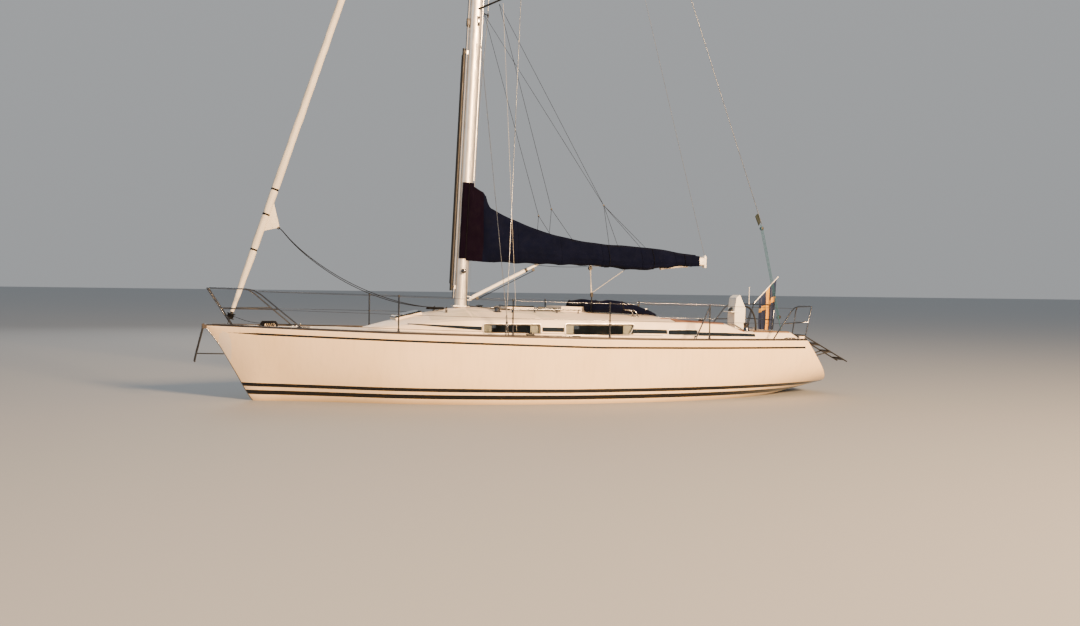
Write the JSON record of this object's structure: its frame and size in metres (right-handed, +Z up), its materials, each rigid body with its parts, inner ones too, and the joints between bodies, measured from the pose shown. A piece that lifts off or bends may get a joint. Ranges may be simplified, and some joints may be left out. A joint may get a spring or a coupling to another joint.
{
  "type": "sailing yacht",
  "caption": "Cruising sloop afloat with covered mainsail, rolled headsail, folded sprayhood, boarding ladders, fin keel and spade rudder.",
  "frame": {"origin": "on the waterline amidships, at the mount waterline", "axes": "+X to the bow, +Y to port, +Z up"},
  "size_m": [11.8875, 3.5088, 18.544],
  "materials": {
    "gelcoat_cream": "gloss",
    "deck_gelcoat": "non-slip matt",
    "cast_iron": "painted",
    "painted_grey": "satin",
    "bronze": "polished",
    "anodised_alloy": "satin anodised",
    "black_alloy": "black anodised",
    "stainless": "polished",
    "wire_rope": "1x19 wire",
    "white_moulding": "gloss",
    "tinted_acrylic": "tinted, polished",
    "teak": "bare",
    "varnished_wood": "varnished",
    "dark_canvas": "woven acrylic canvas",
    "sailcloth": "woven polyester",
    "curtain_cloth": "pleated",
    "braided_rope": "braided",
    "flag_cloth": "woven",
    "black_plastic": "moulded"
  },
  "bodies": {
    "hull_body": {"hull": "gelcoat_cream", "deck": "deck_gelcoat", "toe_rail": "black_alloy", "port_cabin_windows": "tinted_acrylic", "starboard_cabin_windows": "tinted_acrylic", "port_curtains": "curtain_cloth", "starboard_curtains": "curtain_cloth", "cabin_furniture": "varnished_wood", "cabin_sole": "teak", "companionway_steps": "varnished_wood", "engine": "painted_grey", "keel": "cast_iron", "drive_leg": "painted_grey", "mast": "anodised_alloy", "lower_spreaders": "black_alloy", "upper_spreaders": "black_alloy", "port_shrouds": "wire_rope", "starboard_shrouds": "wire_rope", "spinnaker_pole": "black_alloy", "mast_cover": "dark_canvas", "mainsheet_track": "black_plastic", "forestay": "black_alloy", "furled_headsail": "sailcloth", "backstay": "wire_rope", "backstay_tackle": "braided_rope", "port_guardrail": "stainless", "starboard_guardrail": "stainless", "pulpit": "stainless", "port_pushpit": "stainless", "starboard_pushpit": "stainless", "sprayhood": "dark_canvas", "steering_pedestal": "white_moulding", "port_winch": "stainless", "starboard_winch": "stainless", "flagstaff": "varnished_wood", "ensign": "flag_cloth", "port_jib_sheet": "braided_rope", "starboard_jib_sheet": "braided_rope", "halyard_hank": "braided_rope", "foredeck_coil": "braided_rope"},
    "boom_body": {"boom": "anodised_alloy", "boom_vang": "white_moulding", "sail_cover": "dark_canvas"},
    "wheel_body": {"steering_wheel": "stainless"},
    "rudder_body": {"rudder": "gelcoat_cream"},
    "propeller_body": {"propeller": "bronze"},
    "companionway_hatch_body": {"companionway_hatch": "tinted_acrylic"},
    "port_door_body": {"companionway_door_port": "varnished_wood"},
    "starboard_door_body": {"companionway_door_starboard": "varnished_wood"},
    "fore_hatch_body": {"fore_hatch": "tinted_acrylic"},
    "saloon_hatch_body": {"saloon_hatch": "tinted_acrylic"},
    "anchor_lid_body": {"anchor_locker_lid": "deck_gelcoat"},
    "port_lid_body": {"port_locker_lid": "teak"},
    "starboard_lid_body": {"starboard_locker_lid": "teak"},
    "bow_ladder_body": {"bow_ladder": "stainless"},
    "stern_ladder_body": {"stern_ladder": "black_alloy"}
  },
  "joints": [
    {"name": "boom_swing", "type": "hinge", "parent": "hull_body", "child": "boom_body", "pos_m": [1.15027, 0, 2.4618], "axis": [-0.043, 0, 0.9991], "range_deg": [-60, 60]},
    {"name": "wheel_turn", "type": "hinge", "parent": "hull_body", "child": "wheel_body", "pos_m": [-4.29, 0, 1.235], "axis": [1, 0, 0], "range_deg": [-270, 270]},
    {"name": "rudder_turn", "type": "hinge", "parent": "hull_body", "child": "rudder_body", "pos_m": [-4.13, 0, 0], "axis": [0, 0, 1], "range_deg": [-35, 35]},
    {"name": "propeller_spin", "type": "hinge", "parent": "hull_body", "child": "propeller_body", "pos_m": [-1.95, 0, -0.96], "axis": [1, 0, 0], "continuous": true},
    {"name": "companionway_hatch_slide", "type": "slide", "parent": "hull_body", "child": "companionway_hatch_body", "axis": [0.9997, 0, 0.0243], "range_m": [0, 0.75]},
    {"name": "port_door_turn", "type": "hinge", "parent": "hull_body", "child": "port_door_body", "pos_m": [-2.1404, 0.315, 1.18], "axis": [0, 0, -1], "range_deg": [0, 110]},
    {"name": "starboard_door_turn", "type": "hinge", "parent": "hull_body", "child": "starboard_door_body", "pos_m": [-2.1404, -0.315, 1.18], "axis": [0, 0, 1], "range_deg": [0, 110]},
    {"name": "fore_hatch_lift", "type": "hinge", "parent": "hull_body", "child": "fore_hatch_body", "pos_m": [2.1043, 0, 1.5018], "axis": [0, -1, 0], "range_deg": [0, 80]},
    {"name": "saloon_hatch_lift", "type": "hinge", "parent": "hull_body", "child": "saloon_hatch_body", "pos_m": [0.0694, 0, 1.5947], "axis": [0, -1, 0], "range_deg": [0, 80]},
    {"name": "anchor_lid_lift", "type": "hinge", "parent": "hull_body", "child": "anchor_lid_body", "pos_m": [5.083, 0, 1.2475], "axis": [0, 1, 0], "range_deg": [0, 90]},
    {"name": "port_lid_lift", "type": "hinge", "parent": "hull_body", "child": "port_lid_body", "pos_m": [-3.06, 0.763, 0.83], "axis": [-1, 0, 0], "range_deg": [0, 70]},
    {"name": "starboard_lid_lift", "type": "hinge", "parent": "hull_body", "child": "starboard_lid_body", "pos_m": [-3.06, -0.763, 0.83], "axis": [1, 0, 0], "range_deg": [0, 70]},
    {"name": "bow_ladder_lift", "type": "hinge", "parent": "hull_body", "child": "bow_ladder_body", "pos_m": [5.708, 0, 1.205], "axis": [0, -1, 0], "range_deg": [0, 100]},
    {"name": "stern_ladder_lift", "type": "hinge", "parent": "hull_body", "child": "stern_ladder_body", "pos_m": [-5.078, 0.63, 1.112], "axis": [0, 1, 0], "range_deg": [0, 100]}
  ],
  "couplings": [
    {"joint": "rudder_turn", "follows": "wheel_turn", "ratio": 0.1296}
  ]
}
